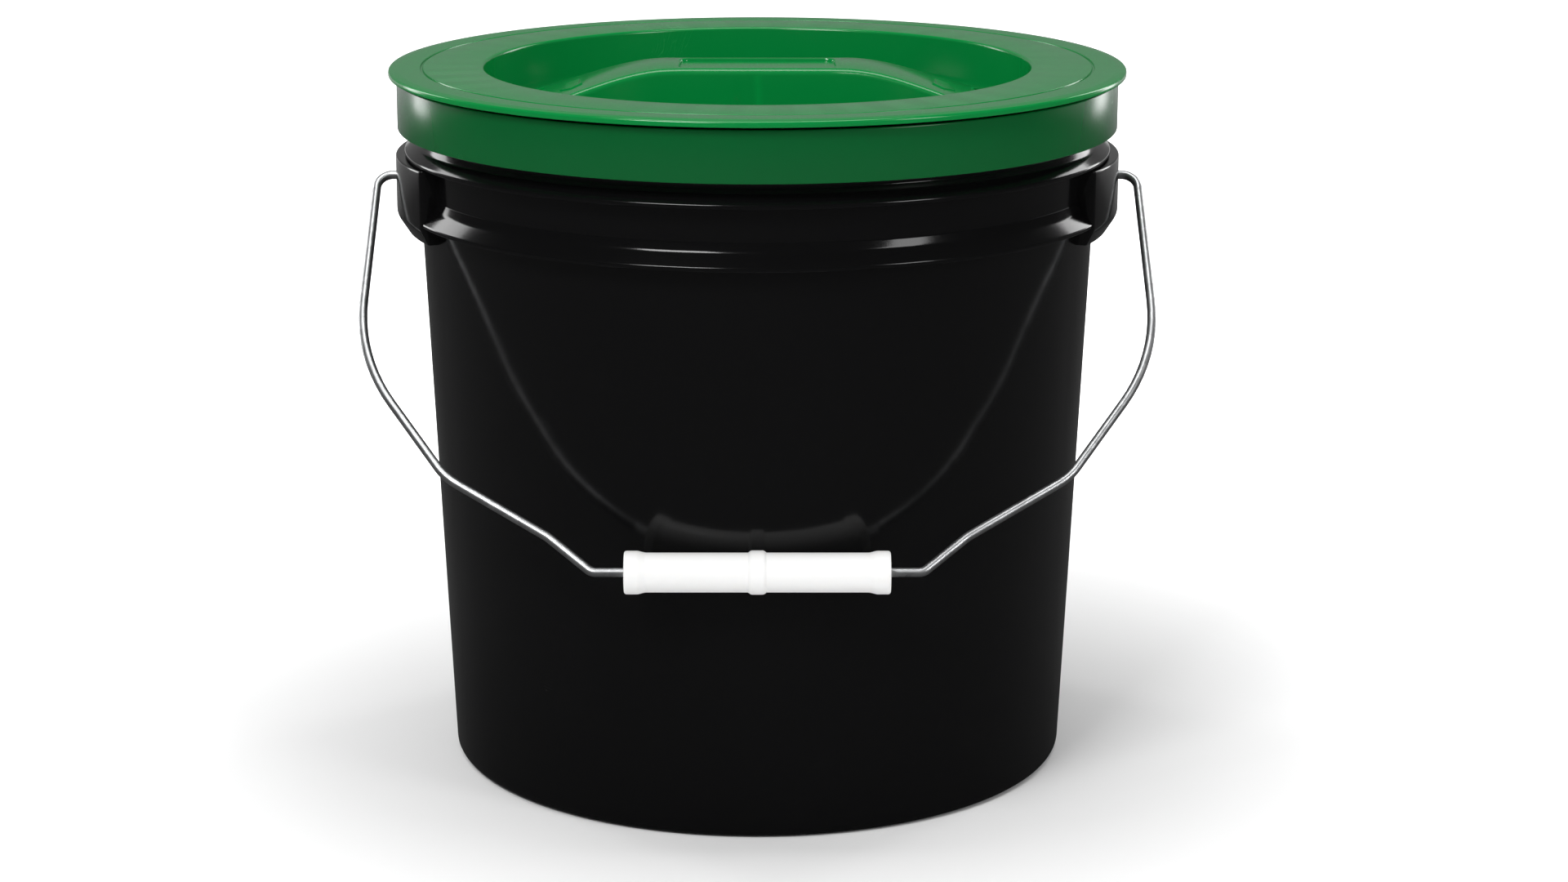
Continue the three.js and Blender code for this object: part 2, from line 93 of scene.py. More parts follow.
# ---- What a user can change ----


class PailSettings(bpy.types.PropertyGroup):
    rim_radius: length(0.1515, "Rim radius", "Outside of the rolled rim")
    rim_height: length(0.0046, "Rim height", "Height of the rolled rim's bead")
    rim_proud: length(0.0042, "Rim stand-out", "How far the rim stands out from the neck")
    neck_wall: length(0.002, "Neck wall", "Thickness of the wall above the inner step")
    lower_wall: length(0.0025, "Lower wall", "Thickness of the wall below the inner step")
    rib_proud: length(0.0046, "Rib stand-out", "How far both ribs stand out from the neck")
    rib_thickness: length(0.0019, "Rib thickness", "Thickness of a rib's hanging skirt")
    ear_wall: length(0.0025, "Ear wall", "Thickness of an ear's face and shelf")
    ear_end_proud: length(0.0052, "Ear end stand-out", "How far an ear's ends stand out from the neck")
    draft: FloatProperty(
        name="Draft", description="Growth of the wall's radius per unit of height", default=0.0438)
    ear_half_angle: FloatProperty(
        name="Ear half angle", description="Half of the turn that an ear takes", default=math.radians(23),
        subtype="ANGLE")
    steps: IntProperty(name="Steps", description="Steps of a full turn", default=192)
    tint: colour((0.0036, 0.0036, 0.0038), "Pail colour", "Colour of the black plastic")


class BailSettings(bpy.types.PropertyGroup):
    wire_radius: length(0.0019, "Wire radius", "Radius of the bail's wire")
    shoulder_bend: length(0.007, "Shoulder bend", "Bend radius beside an ear")
    arm_bend: length(0.09, "Arm bend", "Bend radius where an arm turns in")
    grip_radius: length(0.008, "Grip radius", "Radius of the roller")
    grip_end_radius: length(0.00875, "Grip end radius", "Radius of the roller's flared ends")
    grip_band_radius: length(0.0089, "Grip band radius", "Radius of the band round the roller's middle")
    wire_tint: colour((0.70, 0.71, 0.72), "Wire colour", "Colour of the galvanised wire")
    grip_tint: colour((0.93, 0.93, 0.92), "Grip colour", "Colour of the white plastic")


class ClosureSettings(bpy.types.PropertyGroup):
    skirt: length(0.0027, "Skirt", "Thickness of the ring's outer skirt")
    band: length(0.0026, "Band", "Thickness of the ring's flat band")
    flange: length(0.003, "Flange", "Thickness of the lid's flange")
    wall: length(0.0024, "Lid wall", "Thickness of the lid's well, bar and thread wall")
    ridge_radius: length(0.0022, "Thread ridge", "Radius of a ridge of the screw thread")
    thread_lead: length(0.024, "Thread lead", "Rise of the lid in one turn")
    well_radius: length(0.1173, "Well radius", "Inside of the lid's round well")
    well_edge: length(0.026, "Well edge depth", "Depth of the well at its wall")
    well_middle: length(0.037, "Well middle depth", "Depth of the well in its middle")
    bar_end: length(0.080, "Bar end", "Width of the handle bar where it meets the well")
    bar_waist: length(0.037, "Bar waist", "Width of the handle bar in its middle")
    # Counts the sink marks on the flange, each a faint dip with a painted highlight over it.
    sink_marks_and_sheen: IntProperty(
        name="Sink marks and sheen", description="Faint marks on the flange, over webs under it", default=42)
    lid_tint: colour((0.0008, 0.212, 0.042), "Lid colour", "Colour of the lid's green plastic")
    # The ring is moulded in the lid's green; its darker colour here is painted shade.
    ring_shaded_tint: colour((0.0012, 0.098, 0.022), "Ring colour", "Colour of the ring's green plastic, darkened as painted shade")
    seal_tint: colour((0.012, 0.012, 0.012), "Seal colour", "Colour of both rubber seals")


class StageSettings(bpy.types.PropertyGroup):
    lens: FloatProperty(name="Lens", description="Focal length of the camera", default=78.0, unit="CAMERA")
    floor_radius: length(14.0, "Floor radius", "Radius of the pale floor")
    floor_tint: colour((0.86, 0.86, 0.86), "Floor colour", "Colour of the pale floor")


def settings():
    return bpy.context.scene.fermenting_bucket


class BucketSettings(bpy.types.PropertyGroup):
    pail: PointerProperty(type=PailSettings)
    bail: PointerProperty(type=BailSettings)
    closure: PointerProperty(type=ClosureSettings)
    stage: PointerProperty(type=StageSettings)


# ---- Outlines and meshes ----


def filleted(corners, closed=False, steps=6):
    """Corners (across, up, fillet radius) as points, with each filleted corner as an arc."""
    points = []
    for i, (x, y, *rest) in enumerate(corners):
        here = Vector((x, y))
        radius = rest[0] if rest else 0
        if radius == 0 or (not closed and i in (0, len(corners) - 1)):
            points.append(here)
            continue
        back = Vector(corners[i - 1][:2]) - here
        ahead = Vector(corners[(i + 1) % len(corners)][:2]) - here
        half = back.angle(ahead) / 2
        reach = min(radius / math.tan(half), 0.49 * back.length, 0.49 * ahead.length)
        middle = (back.normalized() + ahead.normalized()).normalized()
        centre = here + middle * reach / math.cos(half)
        start = here + back.normalized() * reach - centre
        end = here + ahead.normalized() * reach - centre
        turn = math.atan2(start.x * end.y - start.y * end.x, start.dot(end))
        points += [centre + Matrix.Rotation(turn * k / steps, 2) @ start for k in range(steps + 1)]
    return points


def spun(points, steps, closed=False):
    """The outline, drawn in the plane of radius and height, spun right round Z as a new bmesh."""
    bm = bmesh.new()
    verts = [bm.verts.new((p.x, 0, p.y)) for p in points]
    ends = verts[1:] + verts[:1] if closed else verts[1:]
    geom = verts + [bm.edges.new(pair) for pair in zip(verts, ends)]
    bmesh.ops.spin(
        bm, geom=geom, cent=(0, 0, 0), axis=(0, 0, 1), angle=FULL_TURN, steps=steps,
        use_merge=True, use_duplicate=False)
    bmesh.ops.remove_doubles(bm, verts=bm.verts, dist=1e-6)
    bmesh.ops.recalc_face_normals(bm, faces=bm.faces)
    return bm


def part_spun(points, start, stages, lift=0.0):
    """The closed outline spun part of the way round Z, in stages of (turn, steps), as a capped solid."""
    bm = bmesh.new()
    geom = [bm.faces.new([bm.verts.new((p.x * math.cos(start), p.x * math.sin(start), p.y)) for p in points])]
    whole = sum(turn for turn, _ in stages)
    for turn, steps in stages:
        rise = lift * turn / whole / steps
        geom = bmesh.ops.spin(
            bm, geom=geom, cent=(0, 0, 0), axis=(0, 0, 1), dvec=(0, 0, rise), angle=turn, steps=steps,
            use_merge=False, use_duplicate=False)["geom_last"]
    bmesh.ops.recalc_face_normals(bm, faces=bm.faces)
    return bm


def pushed(bm, face, shift=(0, 0, 0)):
    """The face's outline carried on from where it is, as a new face at the end of new walls."""
    new = bmesh.ops.extrude_face_region(bm, geom=[face])["geom"]
    face = next(item for item in new if isinstance(item, bmesh.types.BMFace))
    bmesh.ops.translate(bm, verts=face.verts, vec=shift)
    return face


def linked(name, data):
    """A new object for the data, in the scene."""
    made = bpy.data.objects.new(name, data)
    bpy.context.scene.collection.objects.link(made)
    return made


def evaluated_mesh(source):
    graph = bpy.context.evaluated_depsgraph_get()
    return bpy.data.meshes.new_from_object(source.evaluated_get(graph))


def moved(bm, shift, turn=0.0, axis="Z"):
    """Turns the whole bmesh about an axis through the origin, and then shifts it."""
    if turn:
        bmesh.ops.rotate(bm, verts=bm.verts, matrix=Matrix.Rotation(turn, 3, axis))
    bmesh.ops.translate(bm, verts=bm.verts, vec=shift)


def cylinder(radius, depth, segments):
    bm = bmesh.new()
    bmesh.ops.create_cone(bm, cap_ends=True, segments=segments, radius1=radius, radius2=radius, depth=depth)
    return bm


def piece_from(bm, name, smooth=35):
    """A new object for a bmesh, shaded smooth but for edges sharper than the given degrees."""
    mesh = bpy.data.meshes.new(name)
    bm.to_mesh(mesh)
    bm.free()
    piece = linked(name, mesh)
    shade(piece, smooth)
    return piece


def shade(piece, smooth):
    piece.data.polygons.foreach_set("use_smooth", [True] * len(piece.data.polygons))
    piece.data.set_sharp_from_angle(angle=math.radians(smooth))


def joined(piece, tools, operation="UNION", smooth=35):
    """Adds the tools' solids to the piece's, or cuts them out of it. The tools are used up."""
    for tool in tools:
        boolean = piece.modifiers.new(operation.lower(), "BOOLEAN")
        boolean.operation = operation
        boolean.solver = "EXACT"
        boolean.object = tool
    mesh = evaluated_mesh(piece)
    piece.modifiers.clear()
    piece.data = mesh
    mesh.name = piece.name
    for tool in tools:
        bpy.data.objects.remove(tool)
    shade(piece, smooth)
    return piece


def finish_piece(piece, body, node, material):
    """The piece moves with its body and stands for its node of the frame."""
    piece.data.materials.clear()
    piece.data.materials.append(material)
    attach(piece, body)
    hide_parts(node)
    return piece


# ---- Materials ----


def add(tree, kind, values=None, **options):
    """A new node with its options and the values, or links, of its inputs."""
    node = tree.nodes.new(kind)
    for key, value in options.items():
        setattr(node, key, value)
    for key, value in (values or {}).items():
        if isinstance(value, bpy.types.NodeSocket):
            tree.links.new(value, node.inputs[key])
        else:
            node.inputs[key].default_value = value
    return node


def maths(tree, operation, *values, clamp=False):
    node = add(tree, "ShaderNodeMath", dict(enumerate(values)), operation=operation, use_clamp=clamp)
    return node.outputs[0]


def place_on(tree):
    """The place on the object itself, so that a pattern moves with its piece."""
    return add(tree, "ShaderNodeTexCoord").outputs["Object"]


def noise(tree, place, scale, detail, output="Fac", **more):
    """A soft random pattern over a place, as a value or as a colour."""
    values = {"Vector": place, "Scale": scale, "Detail": detail, **more}
    return add(tree, "ShaderNodeTexNoise", values).outputs[output]


def new_group(name, inputs, outputs):
    """An empty node group. Returns it with its inputs' sockets by name and a call that sets its outputs."""
    group = bpy.data.node_groups.new(name, "ShaderNodeTree")
    for label, default in inputs.items():
        socket = group.interface.new_socket(label, in_out="INPUT", socket_type="NodeSocketFloat")
        socket.default_value = default
    for label in outputs:
        group.interface.new_socket(label, in_out="OUTPUT", socket_type="NodeSocketFloat")
    source = group.nodes.new("NodeGroupInput")
    target = group.nodes.new("NodeGroupOutput")

    def put(label, socket):
        group.links.new(socket, target.inputs[label])

    return group, source.outputs, put


def moulded_skin():
    """Faint waviness and fine grain of a moulding, with roughness that drifts over the surface."""
    group, given, put = new_group(
        "Moulded skin",
        {"Wave Scale": 12.0, "Wave Height": 0.5, "Grain Scale": 900.0, "Grain Height": 0.05,
         "Stretch": 1.0, "Roughness": 0.2, "Spread": 0.08},
        ("Height", "Roughness"))
    place = place_on(group)
    scale = add(group, "ShaderNodeCombineXYZ", {"X": 1.0, "Y": 1.0, "Z": given["Stretch"]}).outputs[0]
    drawn = add(group, "ShaderNodeMapping", {"Vector": place, "Scale": scale}).outputs[0]
    wave = noise(group, drawn, given["Wave Scale"], 2.0)
    grain = noise(group, place, given["Grain Scale"], 1.0)
    drift = noise(group, drawn, 25.0, 6.0, Roughness=0.65)
    tall = maths(group, "MULTIPLY", wave, given["Wave Height"])
    fine = maths(group, "MULTIPLY", grain, given["Grain Height"])
    put("Height", maths(group, "ADD", tall, fine))
    swing = maths(group, "MULTIPLY", maths(group, "SUBTRACT", drift, 0.5), given["Spread"])
    put("Roughness", maths(group, "ADD", given["Roughness"], swing, clamp=True))
    return group


def handling_marks():
    """A mask of sparse hairline scuffs, and one of edges burnished by handling."""
    group, given, put = new_group(
        "Handling marks",
        {"Scale": 30.0, "Density": 0.4, "Edge": 0.5},
        ("Scuffs", "Edges"))
    place = place_on(group)
    bent = noise(group, place, 9.0, 2.0, "Color")
    shifted = add(group, "ShaderNodeVectorMath", {0: place, 1: bent}, operation="ADD").outputs[0]
    turned = add(
        group, "ShaderNodeMapping", {"Vector": shifted, "Rotation": (0.4, 0.7, 0.2), "Scale": (1, 9, 1)})
    lines = add(
        group, "ShaderNodeTexVoronoi", {"Vector": turned.outputs[0], "Scale": given["Scale"]},
        feature="DISTANCE_TO_EDGE")
    line_width = 0.012
    thin = maths(group, "LESS_THAN", lines.outputs["Distance"], line_width)
    where = noise(group, place, 14.0, 3.0)
    patchy = maths(group, "SUBTRACT", where, maths(group, "SUBTRACT", 1.0, given["Density"]), clamp=True)
    put("Scuffs", maths(group, "MULTIPLY", thin, maths(group, "MULTIPLY", patchy, 4.0), clamp=True))
    point = add(group, "ShaderNodeNewGeometry").outputs["Pointiness"]
    edge_from = 0.53
    proud = maths(group, "MULTIPLY", maths(group, "SUBTRACT", point, edge_from, clamp=True), 6.0, clamp=True)
    put("Edges", maths(group, "MULTIPLY", proud, given["Edge"]))
    return group


def sink_marks_and_sheen():
    """A mask of evenly spaced radial patches in a flat band round Z: on the lid each is a faint sink mark,
    with a painted highlight over it.
    """
    group, given, put = new_group(
        "Sink marks and sheen",
        {"Count": 42.0, "Inner Radius": 0.118, "Outer Radius": 0.143, "Height": 0.3, "Share": 0.62},
        ("Mask",))
    place = place_on(group)
    axes = add(group, "ShaderNodeSeparateXYZ", {0: place}).outputs
    angle = maths(group, "ARCTAN2", axes["Y"], axes["X"])
    count = maths(group, "MULTIPLY", maths(group, "DIVIDE", angle, FULL_TURN), given["Count"])
    cell = maths(group, "FRACT", maths(group, "ADD", count, 500.0))
    off_middle = maths(group, "ABSOLUTE", maths(group, "SUBTRACT", cell, 0.5))
    half_mark = maths(group, "MULTIPLY", given["Share"], 0.5)
    inside = maths(group, "MULTIPLY", maths(group, "SUBTRACT", half_mark, off_middle), 9.0, clamp=True)
    across = maths(group, "MULTIPLY", axes["X"], axes["X"])
    along = maths(group, "MULTIPLY", axes["Y"], axes["Y"])
    radius = maths(group, "SQRT", maths(group, "ADD", across, along))
    edge_softness = 900.0
    band = maths(group, "GREATER_THAN", axes["Z"], given["Height"])
    for more, less in ((radius, given["Inner Radius"]), (given["Outer Radius"], radius)):
        past_edge = maths(group, "SUBTRACT", more, less)
        past_edge = maths(group, "MULTIPLY", past_edge, edge_softness, clamp=True)
        band = maths(group, "MULTIPLY", band, past_edge)
    uneven = noise(group, place, 11.0, 1.0)
    patchy = maths(group, "MULTIPLY", maths(group, "SUBTRACT", uneven, 0.36, clamp=True), 2.6, clamp=True)
    put("Mask", maths(group, "MULTIPLY", maths(group, "MULTIPLY", inside, band), patchy))
    return group


def new_material(name, preset=None):
    """A material whose shader has the preset values, with its tree and its shader."""
    material = bpy.data.materials.new(name)
    material.use_nodes = True
    material.node_tree.nodes.clear()
    tree = material.node_tree
    shader = add(tree, "ShaderNodeBsdfPrincipled", preset)
    output = tree.nodes.new("ShaderNodeOutputMaterial")
    tree.links.new(shader.outputs[0], output.inputs["Surface"])
    return material, tree, shader


def use_group(tree, group, **values):
    node = tree.nodes.new("ShaderNodeGroup")
    node.node_tree = group
    for key, value in values.items():
        node.inputs[key.replace("_", " ").title()].default_value = value
    return node.outputs


def mixed(tree, share, low, high):
    """A colour between two others."""
    mix = tree.nodes.new("ShaderNodeMix")
    mix.data_type = "RGBA"
    for socket, value in ((mix.inputs[6], low), (mix.inputs[7], high)):
        if isinstance(value, bpy.types.NodeSocket):
            tree.links.new(value, socket)
        else:
            socket.default_value = (*value, 1.0)
    tree.links.new(share, mix.inputs[0])
    return mix.outputs[2]


def bump(tree, shader, height, strength, distance):
    node = add(tree, "ShaderNodeBump", {"Height": height, "Strength": strength, "Distance": distance})
    tree.links.new(node.outputs[0], shader.inputs["Normal"])


def scaled(tint, factor):
    return tuple(min(1.0, channel * factor) for channel in tint)


def plastic(name, preset, tint, light, skin, marks, roughness, groups):
    """A glossy moulded plastic: drifting colour and gloss, faint waviness, scuffs and burnished edges."""
    material, tree, shader = new_material(name, preset)
    surface = use_group(tree, groups["skin"], roughness=roughness, **skin)
    wear = use_group(tree, groups["marks"], **marks)
    cloud = noise(tree, place_on(tree), 7.0, 3.0)
    drifting = mixed(tree, cloud, scaled(tint, 0.92), scaled(tint, 1.08))
    lighter = maths(tree, "ADD", wear["Edges"], maths(tree, "MULTIPLY", wear["Scuffs"], 0.35))
    worn = mixed(tree, lighter, drifting, light)
    tree.links.new(worn, shader.inputs["Base Color"])
    dull = maths(tree, "ADD", surface["Roughness"], maths(tree, "MULTIPLY", wear["Scuffs"], 0.25), clamp=True)
    tree.links.new(dull, shader.inputs["Roughness"])
    return material, tree, shader, surface["Height"], worn


def pail_plastic(groups):
    tint = settings().pail.tint
    skin = {"wave_scale": 70.0, "wave_height": 0.25, "grain_scale": 1400.0, "grain_height": 0.03,
            "stretch": 0.04, "spread": 0.1}
    marks = {"scale": 26.0, "density": 0.42, "edge": 0.25}
    preset = {"IOR": 1.5, "Specular IOR Level": 0.34}
    material, tree, shader, height, _ = plastic(
        "Glossy black plastic", preset, tint, scaled(tint, 7), skin, marks, 0.13, groups)
    bump(tree, shader, height, 0.25, 0.0008)
    return material


def green_plastic(name, tint, roughness, groups, with_sink_sheen):
    skin = {"wave_scale": 34.0, "wave_height": 0.35, "grain_scale": 1600.0, "grain_height": 0.02,
            "stretch": 1.0, "spread": 0.09}
    marks = {"scale": 22.0, "density": 0.44, "edge": 0.35}
    preset = {"Specular IOR Level": 0.5, "Subsurface Weight": 0.06,
              "Subsurface Radius": (0.3, 1.0, 0.4), "Subsurface Scale": 0.004}
    material, tree, shader, height, base = plastic(
        name, preset, tint, scaled(tint, 1.9), skin, marks, roughness, groups)
    if with_sink_sheen:
        closure = settings().closure
        mask = use_group(
            tree, groups["sink"], count=float(closure.sink_marks_and_sheen), inner_radius=closure.well_radius + 0.002,
            outer_radius=FLANGE_RADIUS * 0.905, height=LID_TOP - 0.001)["Mask"]
        # Over each sink mark the colour turns paler: a painted highlight for the light that the webs under
        # the flange show; the lowered height is the mark itself.
        pale = tuple(channel + 0.01 for channel in scaled(tint, 1.08))
        tree.links.new(mixed(tree, mask, base, pale), shader.inputs["Base Color"])
        height = maths(tree, "SUBTRACT", height, maths(tree, "MULTIPLY", mask, 0.12))
    bump(tree, shader, height, 0.3, 0.0008)
    return material


def grip_plastic(groups):
    tint = settings().bail.grip_tint
    skin = {"wave_scale": 90.0, "wave_height": 0.3, "grain_scale": 1500.0, "grain_height": 0.06,
            "stretch": 1.0, "spread": 0.12}
    marks = {"scale": 60.0, "density": 0.5, "edge": 0.0}
    preset = {"Subsurface Weight": 0.15, "Subsurface Radius": (1.0, 0.9, 0.8), "Subsurface Scale": 0.003}
    material, tree, shader, height, _ = plastic(
        "White plastic", preset, tint, scaled(tint, 0.86), skin, marks, 0.38, groups)
    bump(tree, shader, height, 0.3, 0.0005)
    return material


def galvanised_wire(groups):
    """Drawn wire with a bright zinc coat: soft spangle, and drawing lines too fine to be shapes."""
    tint = settings().bail.wire_tint
    material, tree, shader = new_material("Galvanised wire", {"Metallic": 1.0})
    surface = use_group(
        tree, groups["skin"], wave_scale=220.0, wave_height=0.5, grain_scale=2500.0, grain_height=0.15,
        roughness=0.4, spread=0.22)
    spangle = add(tree, "ShaderNodeTexVoronoi", {"Vector": place_on(tree), "Scale": 260.0}).outputs["Color"]
    shine = add(tree, "ShaderNodeSeparateXYZ", {0: spangle}).outputs[0]
    tree.links.new(mixed(tree, shine, scaled(tint, 0.82), scaled(tint, 1.12)), shader.inputs["Base Color"])
    tree.links.new(surface["Roughness"], shader.inputs["Roughness"])
    bump(tree, shader, surface["Height"], 0.35, 0.0003)
    return material


def rubber(name, groups):
    tint = settings().closure.seal_tint
    material, tree, shader = new_material(name)
    surface = use_group(
        tree, groups["skin"], wave_scale=60.0, wave_height=0.4, grain_scale=1800.0, grain_height=0.4,
        roughness=0.62, spread=0.15)
    bloom = noise(tree, place_on(tree), 40.0, 4.0)
    tree.links.new(mixed(tree, bloom, tint, scaled(tint, 2.4)), shader.inputs["Base Color"])
    tree.links.new(surface["Roughness"], shader.inputs["Roughness"])
    bump(tree, shader, surface["Height"], 0.4, 0.0004)
    return material


def shared_groups():
    """The node groups that every material here draws on, made once."""
    makers = {"skin": ("Moulded skin", moulded_skin), "marks": ("Handling marks", handling_marks),
              "sink": ("Sink marks and sheen", sink_marks_and_sheen)}
    return {key: bpy.data.node_groups.get(name) or make() for key, (name, make) in makers.items()}


# ---- The pail ----


def wall_radius(height):
    """Outside of the pail's tapered wall."""
    pail = settings().pail
    neck = pail.rim_radius - pail.rim_proud
    return neck - pail.draft * (RIM_TOP - pail.rim_height - height)


def rib_corners(edge_depth, top_depth, slot):
    """A rib that hangs from the wall as a short skirt, with a groove of the slot's height behind it."""
    pail = settings().pail
    edge, top = RIM_TOP - edge_depth, RIM_TOP - top_depth
    outer = pail.rim_radius - pail.rim_proud + pail.rib_proud
    inner = outer - pail.rib_thickness
    return [
        (wall_radius(edge + slot), edge + slot, 0.0006),
        (inner, edge + 0.001, 0.0006),
        (inner, edge, 0.0004),
        (outer, edge, 0.0005),
        (outer, edge + 0.0016, 0.0012),
        (wall_radius(top) + 0.25 * pail.rib_proud, (edge + 2 * top) / 3, 0.004),
        (wall_radius(top), top, 0.003),
    ]


def base_corners(height):
    """The underside: the gate's nub in the middle and two low rings."""
    proud = 0.0012
    corners = [(0, height - proud), (0.0032, height - proud, 0.0008), (0.0042, height, 0.0006)]
    for radius in (0.050, 0.095):
        corners += [
            (radius - 0.0014, height, 0.0004), (radius - 0.0008, height - proud, 0.0004),
            (radius + 0.0008, height - proud, 0.0004), (radius + 0.0014, height, 0.0004)]
    return corners


def pail_corners():
    pail = settings().pail
    rim_under = RIM_TOP - pail.rim_height
    inner_step = RIM_TOP - 0.030
    foot_height, foot_width, floor_top = 0.003, 0.009, 0.006
    foot_inner = wall_radius(0) - foot_width
    return [
        *base_corners(foot_height),
        (foot_inner - 0.0015, foot_height, 0.0008),
        (foot_inner, 0, 0.0006),
        (wall_radius(0), 0, 0.0038),
        *rib_corners(edge_depth=0.050, top_depth=0.0395, slot=0.0055),
        *rib_corners(edge_depth=0.0251, top_depth=0.017, slot=0.0025),
        (wall_radius(rim_under), rim_under, 0.0008),
        (pail.rim_radius, rim_under, 0.0019),
        (pail.rim_radius, RIM_TOP, 0.0021),
        (wall_radius(RIM_TOP) - pail.neck_wall, RIM_TOP, 0.0016),
        (wall_radius(inner_step) - pail.neck_wall, inner_step, 0.0012),
        (wall_radius(inner_step) - pail.lower_wall, inner_step - 0.001, 0.0012),
        (wall_radius(floor_top) - pail.lower_wall, floor_top, 0.007),
        (0, floor_top),
    ]


def ear_face(turn):
    """Radius of an ear's face, which is rounder than the pail and nearly meets the ribs at its ends."""
    pail = settings().pail
    end = pail.rim_radius - pail.rim_proud + pail.ear_end_proud
    axis = (EAR_RADIUS ** 2 - end ** 2) / (2 * (EAR_RADIUS - end * math.cos(pail.ear_half_angle)))
    return axis * math.cos(turn) + math.sqrt((EAR_RADIUS - axis) ** 2 - (axis * math.sin(turn)) ** 2)


def ear_tool(side, corners, half_angle, name, corner=0.0):
    """One sector of a ring about Z, on the pail's left or right, with rounded upright corners.

    Its face follows ear_face: each point past the root is drawn in, further out by more.
    """
    start = (0 if side == RIGHT else math.pi) - half_angle
    nose = 1.1 * corner / EAR_RADIUS
    ends = [(nose, 5)] if corner else []
    stages = [*ends, (2 * (half_angle - nose * len(ends)), 28), *ends]
    bm = part_spun(filleted(corners, closed=True), start, stages)
    past_wall = 0.0005
    root = wall_radius(PIVOT.z) + past_wall
    for vert in bm.verts:
        radius = vert.co.xy.length
        turn = abs(math.atan2(vert.co.y, abs(vert.co.x)))
        short = max(0.0, corner - (half_angle - turn) * EAR_RADIUS)
        sink = corner - math.sqrt(max(0.0, corner ** 2 - short ** 2)) + EAR_RADIUS - ear_face(turn)
        share = min(1.0, max(0.0, (radius - root) / (EAR_RADIUS - root)))
        vert.co.xy *= 1 - sink * share / radius
    return piece_from(bm, name)


def bearing_hole(side):
    """The hole in an ear's face that the wire turns in."""
    bail, pail = settings().bail, settings().pail
    gap = 0.0004
    radius = bail.wire_radius + gap
    bm = cylinder(radius, 2.4 * pail.ear_wall, 32)
    moved(bm, (side * (EAR_RADIUS - pail.ear_wall / 2), 0, PIVOT.z), math.pi / 2, "Y")
    return piece_from(bm, "bearing_hole")


class BUCKET_OT_pail(bpy.types.Operator):
    """Builds the pail: wall, floor, rolled rim, two ribs and two hollow ears"""

    bl_idname = "bucket.pail"
    bl_label = "Pail"

    def execute(self, context):
        pail = settings().pail
        top, edge, low = RIM_TOP - 0.026, RIM_TOP - 0.051, RIM_TOP - 0.0575
        turn_in, root, skin = 0.0046, pail.neck_wall / 2, 0.0004
        ear = [
            (wall_radius(top) - root, top),
            (EAR_RADIUS, top, 0.0009),
            (EAR_RADIUS, edge, 0.0055),
            (EAR_RADIUS - turn_in, low, 0.0005),
            (wall_radius(low) - root, low),
        ]
        inner = EAR_RADIUS - pail.ear_wall
        pocket_top, pocket_low = top - pail.ear_wall, low - 0.001
        pocket = [
            (wall_radius(pocket_top) + skin, pocket_top, 0.0008),
            (inner, pocket_top, 0.0008),
            (inner, edge, 0.0035),
            (inner - turn_in, pocket_low),
            (wall_radius(pocket_low) + skin, pocket_low),
        ]
        piece = piece_from(spun(filleted(pail_corners()), pail.steps), "pail")
        sides = (RIGHT, LEFT)
        ears = [ear_tool(side, ear, pail.ear_half_angle, "ear", corner=0.0015) for side in sides]
        joined(piece, ears)
        inner_half = pail.ear_half_angle - pail.ear_wall / EAR_RADIUS
        pockets = [ear_tool(side, pocket, inner_half, "pocket") for side in sides]
        joined(piece, pockets + [bearing_hole(side) for side in sides], "DIFFERENCE")
        finish_piece(piece, "pail", "bucket", pail_plastic(shared_groups()))
        return {"FINISHED"}


# ---- Bail and grip ----


def wire_corners():
    """The wire's corners (out from the middle, down from the pivot, bend radius), right side."""
    bail = settings().bail
    reach = (GRIP_CENTRE - PIVOT).length
    arm_bow, arm_lean, grip_gap, hook_gap, hook_leg = 0.0009, 0.0028, 0.013, 0.0020, 0.0056
    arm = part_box("bail_wire")[1].x - bail.wire_radius + arm_bow
    arm_length = reach / 2.1
    hook = wall_radius(PIVOT.z) + hook_gap + bail.wire_radius
    elbow = (arm - 0.0396, reach - 0.0454, 0.03)
    knee = (arm - 0.0825, reach - 0.0167, 0.02)
    return [
        (hook, hook_leg),
        (hook, 0, 0.0026),
        (arm - arm_lean, 0, bail.shoulder_bend),
        (arm, arm_length, bail.arm_bend),
        elbow,
        knee,
        (grip_box[1].x + grip_gap, reach, 0.005),
    ]


def bent_wire(path, radius):
    """A round wire along a path in the plane of X and -Z: its end face is pushed on station by station."""
    bm = bmesh.new()
    bmesh.ops.create_circle(bm, cap_ends=True, segments=16, radius=radius)
    face = bm.faces[:][0]
    stations = [Vector((p.x, 0, -p.y)) for p in path]
    ahead = [(b - a).normalized() for a, b in zip(stations, stations[1:])]
    ahead = [ahead[0]] + [(a + b).normalized() for a, b in zip(ahead, ahead[1:])] + [ahead[-1]]
    across = Vector((0, 1, 0))
    start = Matrix((across.cross(ahead[0]), across, ahead[0])).transposed()
    bmesh.ops.rotate(bm, verts=bm.verts, matrix=start)
    bmesh.ops.translate(bm, verts=bm.verts, vec=stations[0])
    for i in range(1, len(stations)):
        last, face = face, pushed(bm, face)
        if i > 1:
            bmesh.ops.delete(bm, geom=[last], context="FACES_ONLY")
        verts = list(face.verts)
        turn = ahead[i - 1].rotation_difference(ahead[i]).to_matrix()
        bmesh.ops.rotate(bm, verts=verts, cent=stations[i - 1], matrix=turn)
        bmesh.ops.translate(bm, verts=verts, vec=stations[i] - stations[i - 1])
    bmesh.ops.recalc_face_normals(bm, faces=bm.faces)
    return bm


